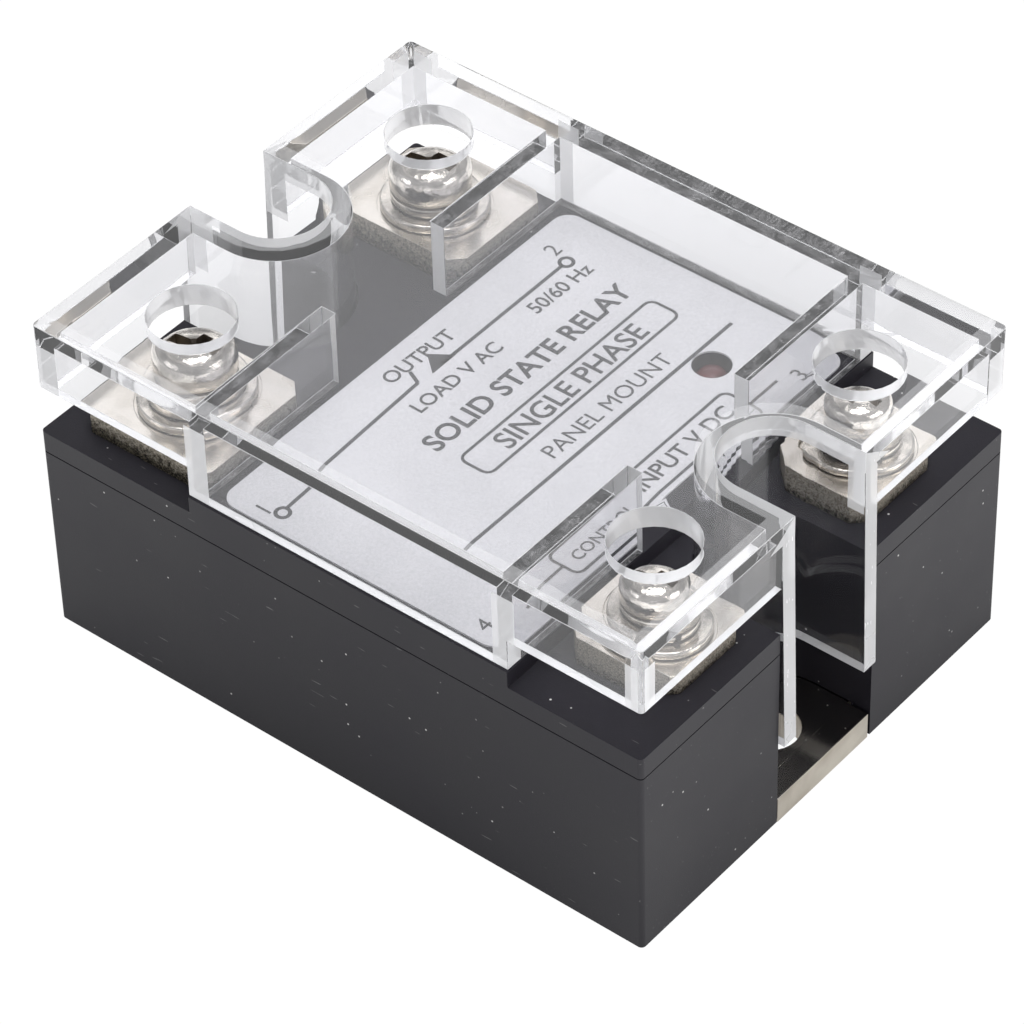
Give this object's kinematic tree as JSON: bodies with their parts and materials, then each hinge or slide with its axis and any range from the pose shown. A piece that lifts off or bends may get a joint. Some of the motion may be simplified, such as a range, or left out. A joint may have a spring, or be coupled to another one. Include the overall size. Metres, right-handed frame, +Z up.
{
  "type": "solid state relay",
  "caption": "Panel-mount solid state relay: black moulded housing on a metal base plate, screw terminals, indicator LED and a clear lift-off cover.",
  "frame": {"origin": "centre of the base plate's underside, on the surface that the relay is screwed down to", "axes": "+X from the load terminals (1, 2) to the control terminals (3, 4), +Y across the width towards terminals 2 and 3, +Z up out of the panel"},
  "size_m": [0.0588, 0.0446, 0.0302],
  "materials": {
    "black_moulding": "fine matt texture",
    "clear_moulding": "polished, clear",
    "nickel_plate": "nickel plated, satin",
    "nickel_terminal": "nickel plated over brass, bright",
    "nickel_screw": "nickel plated, bright",
    "tinned_strip": "tinned, satin",
    "label_film": "silver-grey print film",
    "circuit_laminate": "green solder mask",
    "alumina": "fired, matt",
    "silicon": "passivated chip, metallised",
    "potting_compound": "cast, semi-gloss",
    "component_black": "moulded package",
    "capacitor_red": "dipped epoxy",
    "resistor_beige": "lacquered",
    "led_red": "tinted clear lens"
  },
  "bodies": {
    "relay_body": {"housing": "black_moulding", "base_plate": "nickel_plate", "label": "label_film", "terminal_1_pad": "nickel_terminal", "terminal_2_pad": "nickel_terminal", "terminal_3_pad": "nickel_terminal", "terminal_4_pad": "nickel_terminal", "terminal_1_lead": "tinned_strip", "terminal_2_lead": "tinned_strip", "terminal_3_lead": "tinned_strip", "terminal_4_lead": "tinned_strip", "ceramic_substrate": "alumina", "thyristor_1": "silicon", "thyristor_2": "silicon", "potting": "potting_compound", "circuit_board": "circuit_laminate", "indicator_led": "led_red", "optocoupler": "component_black", "snubber_capacitor": "capacitor_red", "input_transistor": "component_black", "snubber_resistor": "resistor_beige", "input_resistor": "resistor_beige", "gate_resistor_1": "resistor_beige", "gate_resistor_2": "resistor_beige", "led_resistor": "resistor_beige", "protection_diode": "component_black"},
    "cover": {"clear_cover": "clear_moulding"},
    "terminal_1_washers": {"terminal_1_flat_washer": "nickel_screw", "terminal_1_spring_washer": "nickel_screw"},
    "terminal_1_screw": {"terminal_1_screw": "nickel_screw"},
    "terminal_2_washers": {"terminal_2_flat_washer": "nickel_screw", "terminal_2_spring_washer": "nickel_screw"},
    "terminal_2_screw": {"terminal_2_screw": "nickel_screw"},
    "terminal_3_washers": {"terminal_3_flat_washer": "nickel_screw", "terminal_3_spring_washer": "nickel_screw"},
    "terminal_3_screw": {"terminal_3_screw": "nickel_screw"},
    "terminal_4_washers": {"terminal_4_flat_washer": "nickel_screw", "terminal_4_spring_washer": "nickel_screw"},
    "terminal_4_screw": {"terminal_4_screw": "nickel_screw"}
  },
  "joints": [
    {"name": "cover_lift", "type": "slide", "parent": "relay_body", "child": "cover", "axis": [0, 0, 1], "range_m": [0, 0.024]},
    {"name": "terminal_1_rise", "type": "slide", "parent": "relay_body", "child": "terminal_1_washers", "axis": [0, 0, 1], "range_m": [0, 0.0028]},
    {"name": "terminal_1_turn", "type": "hinge", "parent": "terminal_1_washers", "child": "terminal_1_screw", "pos_m": [-0.0202, -0.0139, 0.0222], "axis": [0, 0, 1], "range_deg": [0, 1440]},
    {"name": "terminal_2_rise", "type": "slide", "parent": "relay_body", "child": "terminal_2_washers", "axis": [0, 0, 1], "range_m": [0, 0.0028]},
    {"name": "terminal_2_turn", "type": "hinge", "parent": "terminal_2_washers", "child": "terminal_2_screw", "pos_m": [-0.0202, 0.0139, 0.0222], "axis": [0, 0, 1], "range_deg": [0, 1440]},
    {"name": "terminal_3_rise", "type": "slide", "parent": "relay_body", "child": "terminal_3_washers", "axis": [0, 0, 1], "range_m": [0, 0.0025]},
    {"name": "terminal_3_turn", "type": "hinge", "parent": "terminal_3_washers", "child": "terminal_3_screw", "pos_m": [0.0225, 0.01235, 0.0222], "axis": [0, 0, 1], "range_deg": [0, 1800]},
    {"name": "terminal_4_rise", "type": "slide", "parent": "relay_body", "child": "terminal_4_washers", "axis": [0, 0, 1], "range_m": [0, 0.0025]},
    {"name": "terminal_4_turn", "type": "hinge", "parent": "terminal_4_washers", "child": "terminal_4_screw", "pos_m": [0.0225, -0.01235, 0.0222], "axis": [0, 0, 1], "range_deg": [0, 1800]}
  ],
  "couplings": [
    {"joint": "terminal_1_turn", "follows": "terminal_1_rise", "rad_per_m": 8975.9},
    {"joint": "terminal_2_turn", "follows": "terminal_2_rise", "rad_per_m": 8975.9},
    {"joint": "terminal_3_turn", "follows": "terminal_3_rise", "rad_per_m": 12566},
    {"joint": "terminal_4_turn", "follows": "terminal_4_rise", "rad_per_m": 12566}
  ]
}
